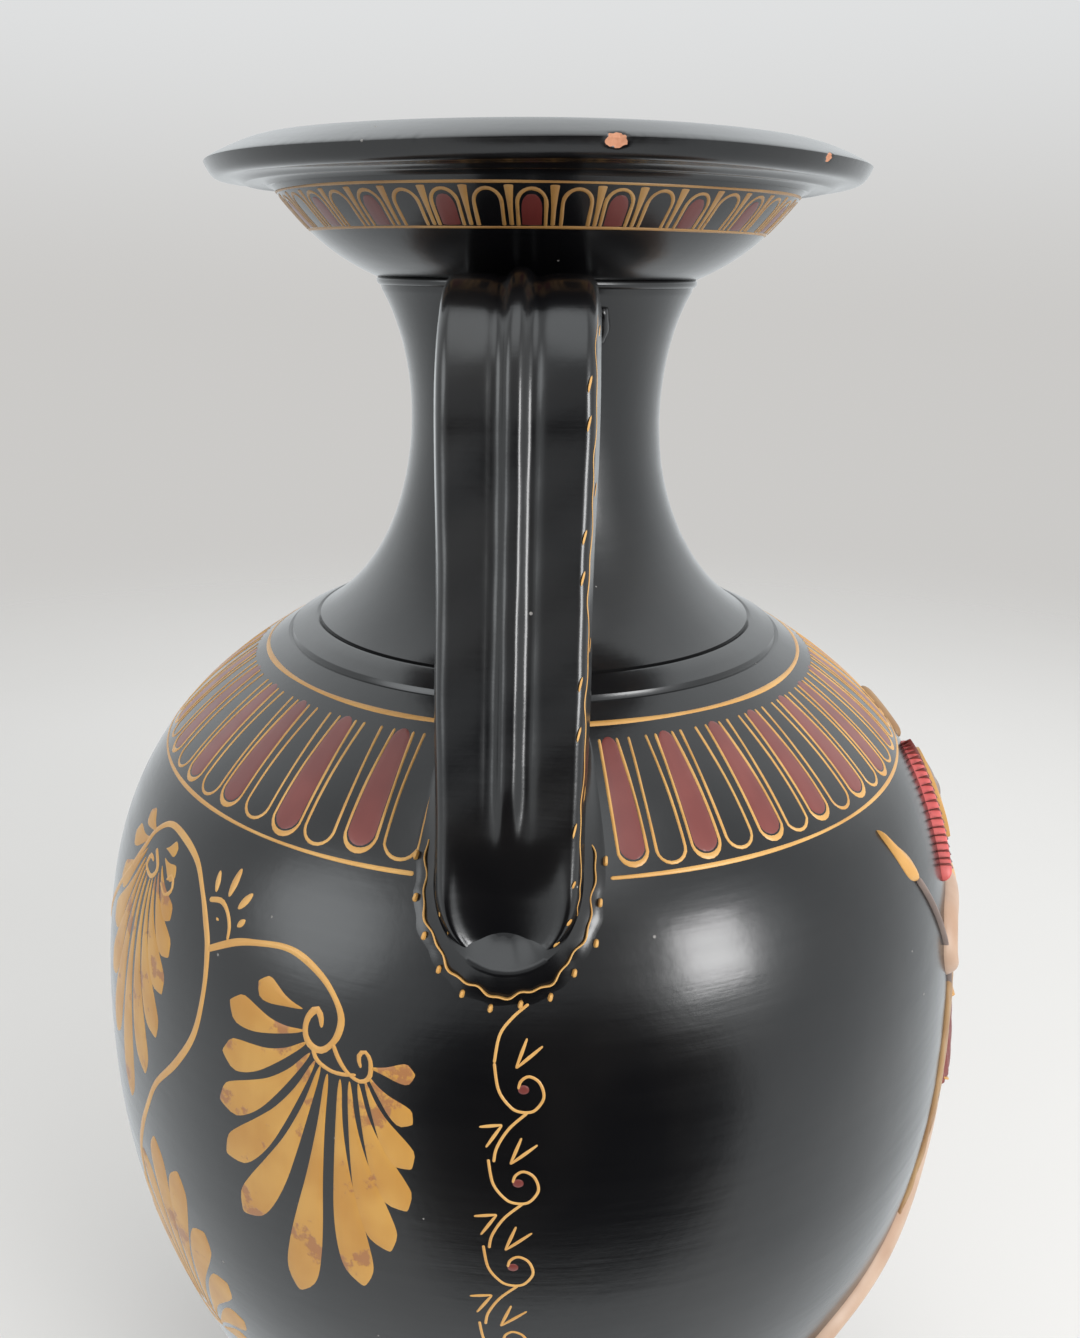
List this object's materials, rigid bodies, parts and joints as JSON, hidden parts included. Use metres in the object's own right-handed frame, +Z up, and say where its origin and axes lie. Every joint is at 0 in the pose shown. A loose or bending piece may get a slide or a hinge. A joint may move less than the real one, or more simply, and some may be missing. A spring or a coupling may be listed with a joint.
{
  "type": "amphora",
  "caption": "Black-glazed neck-amphora with strap handles, painted tongues, arches and palmettes, and a coloured low relief of two warriors on its front.",
  "frame": {"origin": "centre of the foot's resting ring, on the surface it stands on", "axes": "+Z up along the axis of the pot; the relief front faces -Y; the two handles stand at -X and +X"},
  "size_m": [0.277, 0.2816, 0.4809],
  "materials": {
    "black_glaze": "soft gloss, brushed",
    "ochre_paint": "satin",
    "coral_paint": "satin",
    "maroon_paint": "satin",
    "flesh_paint": "satin",
    "brown_paint": "satin"
  },
  "bodies": {
    "root": {"foot": "black_glaze", "lower_body": "black_glaze", "upper_body": "black_glaze", "neck": "black_glaze", "mouth": "black_glaze", "lip": "black_glaze", "handle_left": "black_glaze", "handle_right": "black_glaze", "handle_left_top_luting": "black_glaze", "handle_right_top_luting": "black_glaze", "handle_left_root_luting": "black_glaze", "handle_right_root_luting": "black_glaze", "attacker_knob": "ochre_paint", "attacker_crest": "coral_paint", "attacker_helmet": "brown_paint", "attacker_hair": "brown_paint", "attacker_torso": "ochre_paint", "attacker_arm": "flesh_paint", "attacker_kilt": "maroon_paint", "attacker_shield": "ochre_paint", "attacker_spear": "ochre_paint", "attacker_cloak": "coral_paint", "attacker_front_leg": "flesh_paint", "attacker_rear_leg": "flesh_paint", "defender_crest": "ochre_paint", "defender_helmet": "brown_paint", "defender_shield": "maroon_paint", "defender_kilt": "coral_paint", "defender_spear": "ochre_paint", "defender_left_leg": "flesh_paint", "defender_right_leg": "flesh_paint"}
  },
  "joints": []
}
